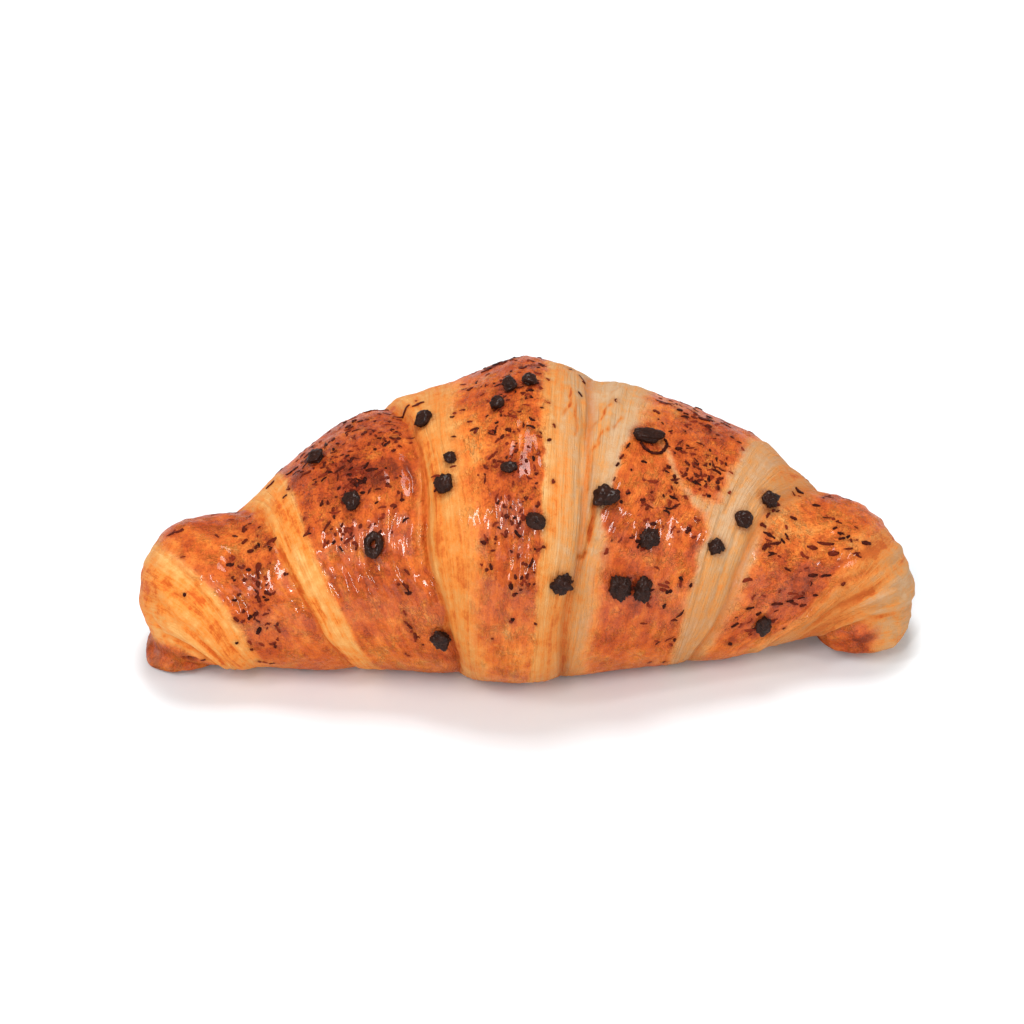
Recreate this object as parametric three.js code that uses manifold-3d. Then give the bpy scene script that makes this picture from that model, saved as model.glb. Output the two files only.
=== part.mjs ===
// A chocolate croissant: one baked crescent roll, lying on its flat underside, with chocolate drops stuck in the
// glaze of its top. Millimetres, +Z up. X runs along the roll, -Y is its front, and the origin is on the surface
// it stands on, under the middle of its box.
import * as THREE from "three";
import { mergeVertices } from "three/addons/utils/BufferGeometryUtils.js";
import Module from "manifold-3d";

// ---- driving dimensions ----
const ORIGIN_X = 0.38; // the box's middle, measured in the roll's own coordinates
const ORIGIN_Y = 1.31;
const AROUND = 40; // facets around the roll
const ALONG = 98; // rings along the roll
const SECTION_POWER = 2.15; // the section is a little squarer than an ellipse
const BEND_LEFT = -59.0; // where each end starts to curl down and under
const BEND_RIGHT = 56.4;
const BEND_EASE = 12.0;
const CURL_RADIUS_LEFT = 17.0;
const CURL_RADIUS_RIGHT = 20.0;
const CURL_ANGLE = (101 * Math.PI) / 180; // how far the ends curl under
const LIFT_LEFT = 1.6; // how far each arm stands clear of the surface beside its tip
const LIFT_RIGHT = 3.0;
const CAP = 7.0; // length over which a tip rounds off
const PINCH = 0.5; // keeps the underside clear of the lines that the ends curl about
const GLUE_GAP = 0.3; // gap under each chocolate drop

const END_LEFT = BEND_LEFT - BEND_EASE / 2 - CURL_ANGLE * CURL_RADIUS_LEFT;
const END_RIGHT = BEND_RIGHT + BEND_EASE / 2 + CURL_ANGLE * CURL_RADIUS_RIGHT;

// Half height of the section along the roll.
const HALF_HEIGHT = [
  [END_LEFT, 11.18], [-88, 7.91], [-80, 11.3], [-72, 14.28], [-66, 15.03], [-59, 16.31], [-52, 19.43], [-45, 22.62],
  [-38, 24.68], [-31, 25.86], [-24, 26.9], [-16, 28.7], [-8, 30.47], [0, 31.64], [8, 30.55], [16, 28.96],
  [24, 27.79], [31, 26.18], [38, 24.69], [45, 22.91], [52, 20.1], [58, 16.72], [64, 14.49], [71, 13.65],
  [78, 12.82], [86, 11.39], [END_RIGHT, 9.7],
];
// The middle line's place in Y along the roll: both arms bow a little.
const MIDDLE_Y = [
  [END_LEFT, -9.89], [-80, -8.36], [-66, -8.28], [-50, -2.62], [-30, 2.26], [0, 1.48], [30, 4.05], [50, 3.23],
  [62, 0.81], [74, -0.94], [END_RIGHT, -3.78],
];
const WIDTH_RATIO = 1.2; // half width over half height
// Height of the section's middle as a share of its half height: under 1, the underside is pressed flat.
const SEAT = [
  [END_LEFT, 0.98], [-75, 0.98], [-60, 0.9], [-40, 0.86], [0, 0.86], [40, 0.86], [58, 0.9], [75, 0.98],
  [END_RIGHT, 0.98],
];

// Where the edges of the rolled layers lie along the roll, every 30 degrees round it. 0 is the front, 90 the top,
// 180 the back and -90 the underside. "creases" are the lines where a layer's edge meets the layer below.
//              -90    -60    -30      0     30     60     90    120    150    180    210    240
const EDGES = {
  tip_left:    [-69.0, -67.0, -68.5, -74.0, -79.0, -83.0, -85.0, -86.0, -84.0, -81.0, -77.0, -73.0],
  fan_left:    [-57.0, -56.0, -57.0, -60.5, -65.0, -70.0, -74.0, -77.5, -79.5, -77.0, -72.0, -63.0],
  outer_left:  [-40.0, -36.0, -38.0, -43.0, -48.5, -52.6, -56.0, -60.0, -62.5, -63.0, -61.0, -52.0],
  glaze_2:     [-34.0, -30.0, -32.6, -37.6, -42.9, -47.0, -50.5, -53.5, -56.5, -57.0, -55.0, -46.0],
  inner_left:  [-20.0, -14.6, -13.8, -16.2, -20.0, -20.6, -23.4, -28.5, -32.0, -34.0, -34.0, -28.0],
  glaze_3l:    [-14.0, -11.5, -12.2, -13.4, -14.2, -16.0, -18.4, -19.0, -23.0, -26.0, -27.0, -21.0],
  glaze_3r:    [2.0, 1.0, 1.0, 2.0, 3.4, 4.1, 4.9, 6.2, 9.0, 11.5, 12.0, 7.0],
  inner_right: [9.0, 7.5, 7.4, 7.8, 11.0, 12.3, 13.3, 13.5, 17.0, 20.0, 21.0, 15.0],
  glaze_4l:    [11.0, 8.9, 9.3, 11.0, 13.2, 18.8, 22.0, 24.5, 26.0, 27.0, 27.0, 19.0],
  glaze_4r:    [32.0, 30.0, 31.0, 33.5, 36.9, 41.2, 46.2, 51.0, 54.0, 55.0, 53.0, 43.0],
  outer_right: [38.0, 34.5, 35.8, 41.0, 45.2, 50.4, 57.5, 62.0, 64.0, 64.5, 62.0, 50.0],
  fan_right:   [53.0, 50.0, 51.5, 61.8, 67.5, 70.0, 73.8, 77.5, 79.0, 77.5, 73.0, 62.0],
  tip_right:   [66.0, 65.5, 70.0, 75.8, 81.0, 85.4, 87.5, 88.0, 86.0, 82.0, 76.0, 70.0],
};
// [edge, side its upper layer lies on, depth, brow, rim width, brow length, foot length]
const CREASES = [
  ["tip_left", 1, 1.4, 0.2, 3.0, 6.0, 2.0],
  ["outer_left", 1, 1.2, 0.25, 5.0, 8.0, 3.0],
  ["inner_left", 1, 2.2, 0.5, 3.6, 8.0, 3.4],
  ["inner_right", -1, 1.5, 0.2, 3.6, 8.0, 3.0],
  ["outer_right", -1, 1.2, 0.25, 5.0, 8.0, 3.0],
  ["tip_right", -1, 1.2, 0.2, 3.0, 6.0, 2.0],
];

// Chocolate drops: [place along, degrees round, length, width, height, turn in degrees].
const DROPS = [
  [-21.3, 91, 4.8, 4.0, 2.4, 25],
  [-2.9, 96, 3.2, 4.2, 2.6, 0],
  [0.8, 97, 3.0, 3.6, 2.2, 0],
  [-5.4, 88, 3.0, 3.8, 2.4, 10],
  [-15.5, 68, 3.0, 2.6, 1.6, 0],
  [-16.5, 57, 4.4, 4.0, 2.4, 20],
  [-3.4, 59, 3.6, 2.4, 1.6, 0],
  [2.2, 39, 4.3, 3.5, 2.2, -25],
  [-44.2, 93, 4.3, 4.4, 2.3, 10],
  [-36.0, 58, 4.0, 4.2, 2.3, 0],
  [-31.4, 36, 3.8, 5.4, 2.5, -10],
  [-17.6, -9, 4.0, 4.6, 2.3, 15],
  [7.3, 16, 3.9, 4.1, 2.1, 0],
  [16.7, 50, 5.5, 4.9, 2.8, 10],
  [25.6, 80, 8.0, 3.7, 2.5, 14],
  [25.6, 35, 4.2, 3.6, 2.1, 0],
  [19.8, 14, 3.7, 5.0, 2.4, 15],
  [24.1, 13, 3.7, 4.8, 2.3, -10],
  [45.7, 50, 4.2, 3.8, 2.2, 0],
  [51.1, 67, 4.0, 4.5, 2.3, -30],
  [40.1, 35, 2.9, 3.0, 1.7, 0],
  [50.2, -7, 3.5, 4.3, 2.1, 10],
  [-50.5, 160, 4.0, 4.2, 2.2, 20],
  [-35.0, 164, 4.4, 3.8, 2.3, 0],
  [-24.0, 177, 3.5, 3.3, 1.8, 30],
  [-12.0, 161, 4.2, 4.4, 2.4, -15],
  [3.5, 168, 5.0, 3.8, 2.3, 10],
  [15.0, 160, 3.4, 3.6, 1.9, 0],
  [30.0, 162, 4.4, 4.0, 2.4, 25],
  [39.5, 175, 3.7, 3.5, 1.9, 0],
  [55.0, 161, 3.8, 4.0, 2.1, 0],
];

// ---- helpers ----
function table(pairs) {
  const n = pairs.length,
    x = pairs.map((p) => p[0]),
    y = pairs.map((p) => p[1]),
    h = [],
    d = [],
    m = new Array(n).fill(0);
  for (let i = 0; i < n - 1; i++) {
    h.push(x[i + 1] - x[i]);
    d.push((y[i + 1] - y[i]) / h[i]);
  }
  for (let i = 1; i < n - 1; i++)
    if (d[i - 1] * d[i] > 0) {
      const a = 2 * h[i] + h[i - 1],
        b = h[i] + 2 * h[i - 1];
      m[i] = (a + b) / (a / d[i - 1] + b / d[i]);
    }
  m[0] = d[0];
  m[n - 1] = d[n - 2];
  return (v) => {
    let i = 0;
    while (i < n - 2 && v > x[i + 1]) i++;
    const t = Math.min(1, Math.max(0, (v - x[i]) / h[i])),
      t2 = t * t,
      t3 = t2 * t;
    return (
      (2 * t3 - 3 * t2 + 1) * y[i] + (t3 - 2 * t2 + t) * h[i] * m[i] + (3 * t2 - 2 * t3) * y[i + 1] + (t3 - t2) * h[i] * m[i + 1]
    );
  };
}
const clamp01 = (t) => Math.min(1, Math.max(0, t));
const ease = (t) => ((t = clamp01(t)), t * t * (3 - 2 * t));
// A ring of 12 values, every 30 degrees from -90, read at any angle.
function round(values, deg) {
  const p = (((deg + 90) / 30) % 12 + 12) % 12,
    i = Math.floor(p),
    t = p - i,
    at = (k) => values[(i + k + 12) % 12],
    [a, b, c, d] = [at(-1), at(0), at(1), at(2)];
  return b + 0.5 * t * (c - a + t * (2 * a - 5 * b + 4 * c - d + t * (3 * (b - c) + d - a)));
}

const halfHeight = table(HALF_HEIGHT),
  middleY = table(MIDDLE_Y),
  seat = table(SEAT);

// The section plane at a place along the roll: its foot and how far it leans as the end curls under.
function plane(u) {
  let x = u,
    lean = 0,
    z = 0;
  for (const [side, from, radius, lift] of [
    [-1, BEND_LEFT, CURL_RADIUS_LEFT, LIFT_LEFT],
    [1, BEND_RIGHT, CURL_RADIUS_RIGHT, LIFT_RIGHT],
  ]) {
    const s = (u - from) * side;
    if (s > 0) {
      const m = Math.min(s, BEND_EASE);
      x = from + side * (m - (m * m) / (2 * BEND_EASE));
      lean = (side * (s < BEND_EASE ? (m * m) / (2 * BEND_EASE) : s - BEND_EASE / 2)) / radius;
    }
    z += lift * ease((s + 18) / 26);
  }
  return [x, z, lean];
}

// How far the surface stands out from the plain roll: creases, and the brows of the layers above them.
function relief(u, deg) {
  const low = ease((Math.sin((deg * Math.PI) / 180) + 1.0) / 0.5);
  let h = 0;
  for (const [edge, side, depth, brow, rim, browLength, foot] of CREASES) {
    const s = (u - round(EDGES[edge], deg)) * side,
      x = clamp01(s / rim);
    if (s < 0) h -= depth * Math.exp(s / foot);
    else if (s < rim) h += -depth + (depth + brow) * Math.pow(1 - (1 - x) * (1 - x), 0.7);
    else h += brow * Math.exp(-(((s - rim) / browLength) ** 2));
  }
  return h * low;
}

// A point on the crust, out by grow.
function crust(u, deg, grow = 0) {
  const phi = (deg * Math.PI) / 180,
    [x, z, lean] = plane(u),
    b = halfHeight(u),
    a = b * WIDTH_RATIO,
    c = Math.cos(phi),
    s = Math.sin(phi),
    e = 2 / SECTION_POWER,
    cx = Math.sign(c) * Math.abs(c) ** e,
    sx = Math.sign(s) * Math.abs(s) ** e,
    gr = clamp01((u - (END_RIGHT - CAP)) / CAP),
    gl = clamp01((END_LEFT + CAP - u) / CAP),
    g = Math.sqrt(Math.max(0, 1 - gr * gr)) * Math.sqrt(Math.max(0, 1 - gl * gl)),
    h = relief(u, deg) * g + grow,
    nl = Math.hypot(c / a, s / b),
    r = seat(u) * b + b * sx * g + ((s / b) * h) / nl,
    rho = (r + Math.hypot(r, PINCH)) / 2,
    y = middleY(u) - a * cx * g - ((c / a) * h) / nl;
  return new THREE.Vector3(
    x + rho * Math.sin(lean) - ORIGIN_X,
    y - ORIGIN_Y,
    z + rho * Math.cos(lean),
  );
}

// Rings follow the layers' edges, so each crease falls on a line of facets.
const EDGE_NAMES = Object.keys(EDGES);
const TOP = EDGE_NAMES.map((n) => EDGES[n][6]);
function along(q, deg) {
  return table([
    [END_LEFT, END_LEFT],
    ...EDGE_NAMES.map((n, i) => [TOP[i], round(EDGES[n], deg)]),
    [END_RIGHT, END_RIGHT],
  ])(q);
}

// Angles round the roll, fewer across the flat underside.
const angles = [];
for (let i = 0; i < AROUND; i++) angles.push(i < AROUND - 7 ? -50 + (i * 280) / (AROUND - 7) : 230 + ((i - (AROUND - 7)) * 80) / 7);
// Rings along the roll, closer at the creases.
function ringPlaces() {
  const weight = (q) => {
      let w = 1;
      for (const [edge, side] of CREASES) {
        const s = (q - EDGES[edge][6]) * side;
        w += 1.6 * Math.exp(-(((s - 1.5) / 3.2) ** 2));
      }
      if (q < END_LEFT + CAP || q > END_RIGHT - CAP) w += 0.8;
      return w;
    },
    N = 2000,
    sum = [0];
  for (let i = 0; i < N; i++) sum.push(sum[i] + weight(END_LEFT + ((i + 0.5) / N) * (END_RIGHT - END_LEFT)));
  const out = [];
  for (let k = 0; k <= ALONG; k++) {
    const want = (k / ALONG) * sum[N];
    let i = 0;
    while (i < N - 1 && sum[i + 1] < want) i++;
    out.push(END_LEFT + ((i + (want - sum[i]) / (sum[i + 1] - sum[i])) / N) * (END_RIGHT - END_LEFT));
  }
  out[0] = END_LEFT;
  out[ALONG] = END_RIGHT;
  return out;
}
const rings = ringPlaces();

// The roll: a closed sphere mesh, each of whose vertices is moved to its place on the crust. What would lie under
// the surface that the roll rests on is pressed flat.
function roll(grow) {
  const g = new THREE.SphereGeometry(1, AROUND, ALONG),
    p = g.getAttribute("position");
  for (let iy = 0; iy <= ALONG; iy++)
    for (let ix = 0; ix <= AROUND; ix++) {
      const deg = angles[ix % AROUND],
        v = crust(along(rings[iy], deg), deg, iy === 0 || iy === ALONG ? 0 : grow);
      p.setXYZ(iy * (AROUND + 1) + ix, v.x, v.y, Math.max(v.z, 0));
    }
  g.deleteAttribute("normal");
  g.deleteAttribute("uv");
  return mergeVertices(g, 1e-4);
}

const wasm = await Module();
wasm.setup();
function solid(geometry) {
  return new wasm.Manifold(
    new wasm.Mesh({
      numProp: 3,
      vertProperties: geometry.getAttribute("position").array,
      triVerts: new Uint32Array(geometry.index.array),
    }),
  );
}
function geometryOf(made) {
  const m = made.getMesh(),
    n = m.numProp,
    v = new Float32Array(m.numVert * 3);
  for (let i = 0; i < m.numVert; i++) v.set(m.vertProperties.subarray(i * n, i * n + 3), i * 3);
  const g = new THREE.BufferGeometry()
    .setAttribute("position", new THREE.BufferAttribute(v, 3))
    .setIndex(new THREE.BufferAttribute(m.triVerts, 1));
  g.computeVertexNormals();
  return g;
}

const crustMaterial = new THREE.MeshStandardMaterial({ color: 0xc4692c, roughness: 0.42, metalness: 0 });
const chocolateMaterial = new THREE.MeshStandardMaterial({ color: 0x35231c, roughness: 0.5, metalness: 0 });

const croissant = new THREE.Group();
const bodyGeometry = roll(0);
bodyGeometry.computeVertexNormals();
const body = new THREE.Mesh(bodyGeometry, crustMaterial);
body.name = "croissant_body";
croissant.add(body);

const grown = solid(roll(GLUE_GAP));
DROPS.forEach(([u, deg, length, width, height, turn], i) => {
  const at = crust(u, deg),
    du = crust(u + 1.5, deg).sub(crust(u - 1.5, deg)).normalize(),
    dp = crust(u, deg + 4).sub(crust(u, deg - 4)).normalize(),
    out = dp.clone().cross(du).negate().normalize();
  const x = du.clone().sub(out.clone().multiplyScalar(du.dot(out))).normalize(),
    y = out.clone().cross(x);
  const g = new THREE.SphereGeometry(1, 9, 6);
  g.rotateX(Math.PI / 2);
  g.scale(length / 2, width / 2, height * 0.62);
  g.rotateZ((turn * Math.PI) / 180);
  g.applyMatrix4(new THREE.Matrix4().makeBasis(x, y, out).setPosition(at.clone().addScaledVector(out, height * 0.38)));
  g.deleteAttribute("normal");
  g.deleteAttribute("uv");
  const pieces = solid(mergeVertices(g, 1e-4)).subtract(grown).decompose();
  pieces.sort((p, q) => q.volume() - p.volume());
  const drop = new THREE.Mesh(geometryOf(pieces[0]), chocolateMaterial);
  drop.name = "chocolate_drop_" + String(i + 1).padStart(2, "0");
  croissant.add(drop);
});

export default croissant;
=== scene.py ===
"""Looks for the chocolate croissant: a detailed crust, knobbly chocolate drops and fine chocolate flakes."""

import math

import bmesh
import bpy
import numpy as np
from mathutils import Matrix, Vector


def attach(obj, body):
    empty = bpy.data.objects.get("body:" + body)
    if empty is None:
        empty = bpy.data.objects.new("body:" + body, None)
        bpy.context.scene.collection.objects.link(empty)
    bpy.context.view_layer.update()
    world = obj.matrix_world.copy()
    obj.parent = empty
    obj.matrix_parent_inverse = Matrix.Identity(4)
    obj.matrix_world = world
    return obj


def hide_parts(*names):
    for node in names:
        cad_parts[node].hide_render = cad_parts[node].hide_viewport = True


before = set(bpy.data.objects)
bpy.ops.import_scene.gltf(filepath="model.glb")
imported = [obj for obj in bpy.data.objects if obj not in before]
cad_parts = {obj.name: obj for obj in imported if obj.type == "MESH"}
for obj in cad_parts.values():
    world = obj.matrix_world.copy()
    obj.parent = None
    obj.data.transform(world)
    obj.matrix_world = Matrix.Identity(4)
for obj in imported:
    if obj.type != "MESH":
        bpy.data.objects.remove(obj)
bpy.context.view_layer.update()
scene = bpy.context.scene

# ------------------------------------------------------------------------------------------------ the roll's shape
# The same plain roll as the CAD, in mm, before the origin is moved under the middle of its box.
ORIGIN = np.array([0.38, 1.31, 0.0])
POWER = 2.15
BEND_L, BEND_R, BEND_EASE = -59.0, 56.4, 12.0
CURL_L, CURL_R = 17.0, 20.0
CURL_ANGLE = math.radians(101)
LIFT_L, LIFT_R = 1.6, 3.0
CAP = 7.0
PINCH = 0.5
END_L = BEND_L - BEND_EASE / 2 - CURL_ANGLE * CURL_L
END_R = BEND_R + BEND_EASE / 2 + CURL_ANGLE * CURL_R

HALF_HEIGHT = np.array([
    [END_L, 11.18], [-88, 7.91], [-80, 11.3], [-72, 14.28], [-66, 15.03], [-59, 16.31], [-52, 19.43], [-45, 22.62],
    [-38, 24.68], [-31, 25.86], [-24, 26.9], [-16, 28.7], [-8, 30.47], [0, 31.64], [8, 30.55], [16, 28.96],
    [24, 27.79], [31, 26.18], [38, 24.69], [45, 22.91], [52, 20.1], [58, 16.72], [64, 14.49], [71, 13.65],
    [78, 12.82], [86, 11.39], [END_R, 9.7]])
MIDDLE_Y = np.array([
    [END_L, -9.89], [-80, -8.36], [-66, -8.28], [-50, -2.62], [-30, 2.26], [0, 1.48], [30, 4.05], [50, 3.23],
    [62, 0.81], [74, -0.94], [END_R, -3.78]])
SEAT = np.array([
    [END_L, 0.98], [-75, 0.98], [-60, 0.9], [-40, 0.86], [0, 0.86], [40, 0.86], [58, 0.9], [75, 0.98], [END_R, 0.98]])
WIDTH_RATIO = 1.2

# Layer edges every 30 degrees from -90 (0 is the front, 90 the top, 180 the back).
EDGES = {
    "tip_left": [-69.0, -67.0, -68.5, -74.0, -79.0, -83.0, -85.0, -86.0, -84.0, -81.0, -77.0, -73.0],
    "fan_left": [-57.0, -56.0, -57.0, -60.5, -65.0, -70.0, -74.0, -77.5, -79.5, -77.0, -72.0, -63.0],
    "outer_left": [-40.0, -36.0, -38.0, -43.0, -48.5, -52.6, -56.0, -60.0, -62.5, -63.0, -61.0, -52.0],
    "glaze_2": [-34.0, -30.0, -32.6, -37.6, -42.9, -47.0, -50.5, -53.5, -56.5, -57.0, -55.0, -46.0],
    "inner_left": [-20.0, -14.6, -13.8, -16.2, -20.0, -20.6, -23.4, -28.5, -32.0, -34.0, -34.0, -28.0],
    "glaze_3l": [-14.0, -11.5, -12.2, -13.4, -14.2, -16.0, -18.4, -19.0, -23.0, -26.0, -27.0, -21.0],
    "glaze_3r": [2.0, 1.0, 1.0, 2.0, 3.4, 4.1, 4.9, 6.2, 9.0, 11.5, 12.0, 7.0],
    "inner_right": [9.0, 7.5, 7.4, 7.8, 11.0, 12.3, 13.3, 13.5, 17.0, 20.0, 21.0, 15.0],
    "glaze_4l": [11.0, 8.9, 9.3, 11.0, 13.2, 18.8, 22.0, 24.5, 26.0, 27.0, 27.0, 19.0],
    "glaze_4r": [32.0, 30.0, 31.0, 33.5, 36.9, 41.2, 46.2, 51.0, 54.0, 55.0, 53.0, 43.0],
    "outer_right": [38.0, 34.5, 35.8, 41.0, 45.2, 50.4, 57.5, 62.0, 64.0, 64.5, 62.0, 50.0],
    "fan_right": [53.0, 50.0, 51.5, 61.8, 67.5, 70.0, 73.8, 77.5, 79.0, 77.5, 73.0, 62.0],
    "tip_right": [66.0, 65.5, 70.0, 75.8, 81.0, 85.4, 87.5, 88.0, 86.0, 82.0, 76.0, 70.0],
}
EDGES = {k: np.array(v) for k, v in EDGES.items()}
NAMES = list(EDGES)
# edge: (side its upper layer lies on, depth, brow, rim width, brow length, foot length)
CREASES = {
    "tip_left": (1, 1.5, 0.2, 3.0, 6.0, 2.0),
    "outer_left": (1, 1.35, 0.25, 5.0, 8.0, 2.6),
    "inner_left": (1, 2.4, 0.5, 4.0, 8.0, 3.0),
    "inner_right": (-1, 1.5, 0.2, 4.6, 8.0, 2.2),
    "outer_right": (-1, 1.3, 0.25, 5.4, 8.0, 2.6),
    "tip_right": (-1, 1.3, 0.2, 3.0, 6.0, 2.0),
}
# Small folds and cracks: (height in mm, width in mm, change of bake, [(place along, degrees round), ...])
LINES = [
    (-1.1, 0.55, 0.45, [(15.7, 53), (14.4, 46), (13.4, 38), (13.0, 30)]),
    (-1.0, 0.5, 0.35, [(13.0, 30), (11.9, 26), (10.2, 26)]),
    (0.75, 0.95, -0.26, [(-27.4, 120), (-24.9, 103), (-22.4, 86), (-21.7, 70), (-21.8, 52), (-22.0, 36), (-21.0, 20)]),
    (-0.45, 0.6, 0.1, [(-25.9, 78), (-23.6, 64), (-23.1, 45)]),
    (0.55, 1.1, 0.14, [(23.0, 119), (18.8, 92), (15.6, 78), (13.5, 65), (12.2, 50)]),
    (0.22, 0.9, -0.30, [(26.5, 84), (29.5, 77), (31.5, 67), (34.5, 58), (38.0, 50)]),
    (0.10, 2.4, -0.36, [(35.0, 58), (38.5, 53), (44.0, 45)]),
    (-0.6, 0.6, 0.20, [(-71.0, 72), (-68.8, 54), (-66.5, 35), (-63.6, 15)]),
    (-0.75, 0.6, 0.26, [(-73.6, 62), (-71.3, 44), (-68.5, 26), (-65.4, 7), (-61.4, -14)]),
    (-0.7, 0.65, 0.26, [(-77.3, 70), (-74.6, 40), (-71.8, 21), (-68.4, -4), (-63.4, -28)]),
    (-0.6, 0.6, 0.24, [(-78.4, 52), (-77.6, 22), (-74.7, -2), (-69.6, -28)]),
    (-0.55, 0.7, 0.28, [(81.1, 66), (74.8, 32), (70.4, 13), (64.9, -4), (58.8, -26)]),
    (-0.5, 0.7, 0.24, [(80.2, 88), (72.2, 45), (67.8, 28), (62.8, 9), (57.3, -10)]),
    (-0.5, 0.7, 0.26, [(82.4, 54), (77.7, 26), (73.0, 8), (67.5, -12), (62.4, -30)]),
    (-0.45, 0.8, 0.28, [(76.9, 92), (71.4, 62), (67.1, 44), (63.4, 28)]),
    (-0.40, 0.50, 0.22, [(11.9, 104), (12.2, 80), (11.3, 61), (10.2, 44.5)]),
    (0.50, 0.80, 0.12, [(21.8, 119), (18.5, 97), (16.0, 87), (13.8, 76.5), (12.6, 62.5), (12.4, 49.5)]),
    (-0.55, 1.60, -0.05, [(17.5, 124), (16.0, 112), (14.6, 92), (13.5, 80)]),
    (-0.15, 0.30, 0.34, [(19.3, 96), (16.7, 89), (13.8, 82)]),
    (-0.15, 0.28, 0.34, [(21.1, 89), (17.4, 81), (14.4, 73.5)]),
    (-0.12, 0.25, 0.36, [(16.3, 76), (13.9, 69.5)]),
    (-0.12, 0.30, 0.42, [(9.1, 101), (9.9, 95), (9.4, 89.5), (7.7, 83.5)]),
    (-0.12, 0.30, 0.48, [(10.9, 93), (10.6, 83), (10.8, 74.5)]),
    (-0.35, 0.45, 0.18, [(-54.6, 90), (-49.3, 48), (-45.0, 22), (-40.0, -8.5)]),
    (-0.30, 0.40, 0.14, [(-55.9, 91.5), (-51.5, 52), (-47.2, 23), (-42.8, -8.5)]),
    (-0.35, 0.45, 0.20, [(-19.0, 74), (-17.6, 51.5), (-16.5, 27), (-14.7, 1), (-13.3, -31)]),
    (-0.35, 0.45, 0.20, [(48.1, 81.5), (41.9, 54), (38.2, 33), (34.6, -1)]),
    (-0.30, 0.40, 0.18, [(50.8, 78.5), (45.5, 50.5), (41.2, 24), (36.9, -15.5)]),
    (-0.30, 0.40, 0.16, [(6.4, 100), (6.4, 80), (6.4, 55), (5.8, 32.5), (4.7, 1.5)]),
    (-0.25, 0.35, 0.20, [(8.4, 72.5), (8.2, 48), (7.3, 25), (6.4, -8)]),
    (-0.90, 0.60, 0.60, [(-82.5, -4), (-79, -13), (-74.3, -22)]),
    (-0.5, 0.7, 0.24, [(85.5, 48), (78.7, 18), (72.9, 0), (68.5, -18)]),
]
# Patches that baked darker or stayed paler: (place along, degrees round, half length, half width, change)
PATCHES = [
    (-37, 92, 11, 11, -0.02), (-34, 71, 7.5, 3.2, 0.28), (-39, 78, 4, 2.0, 0.25), (-31, 64, 3.5, 1.6, 0.3), (-49.8, 88, 3.0, 2.6, 0.30), (-32.6, -4, 2.2, 2.2, 0.22),
    (-30, 15, 5, 12, 0.06), (-12.5, 80, 4.5, 8, -0.20), (-4, 57, 5, 5, 0.10), (1, 100, 8, 8, 0.10),
    (-8.1, 62, 2.0, 1.6, 0.22), (-8.8, 35, 1.3, 2.6, 0.22), (-3, -16, 5, 8, -0.20), (-27, -4, 5, 8, -0.12), (26, 98, 7, 7, -0.12),
    (22, 8, 8, 12, 0.10), (36.5, 35, 1.6, 1.6, 0.25), (36, 88, 8, 10, 0.06), (-66, 95, 7, 10, 0.08),
    (-57, 30, 3, 12, 0.08), (-47, -8, 6, 7, 0.06), (58, 25, 4, 5, 0.14), (47, -6, 4, 6, 0.12), (62, 60, 8, 9, -0.05),
    (-70, 75, 5, 6, -0.06), (-26, 150, 8, 10, 0.08), (-10, 62, 4, 9, -0.16), (-9.5, 30, 3.5, 12, -0.12), (0, 30, 4, 9, 0.06),
    (18, 66, 4, 7, -0.16), (26, 60, 7, 6, -0.16), (30, 22, 4, 8, -0.12), (17, 20, 3, 9, 0.08), (31, 108, 6, 7, -0.12), (40, 76, 5, 6, -0.22),
    (56, 68, 8, 8, -0.30), (50, 46, 4, 7, -0.16), (52, 14, 5, 8, 0.10), (60, 18, 4, 7, 0.08), (43, -16, 3, 4, 0.16),
    (-60, 70, 6, 6, -0.14), (-50, 62, 5, 6, -0.10), (-46, 20, 5, 8, -0.12), (-86, 22, 5, 5, -0.06), (-90, 48, 4, 4, 0.02), (85, 0, 8, 9, 0.14), (24, 40, 8, 14, 0.08), (1, 40, 5, 12, 0.08), (-57, 45, 6, 8, 0.06), (33, 108, 9, 9, -0.10),
    (90, 40, 2.6, 3, 0.5), (-37, 10, 4, 6, -0.08), (-27, 50, 3, 10, -0.06),
    (0, 150, 7, 12, 0.08), (34, 150, 9, 12, 0.10), (-55, 150, 8, 10, 0.08),
]
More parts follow.
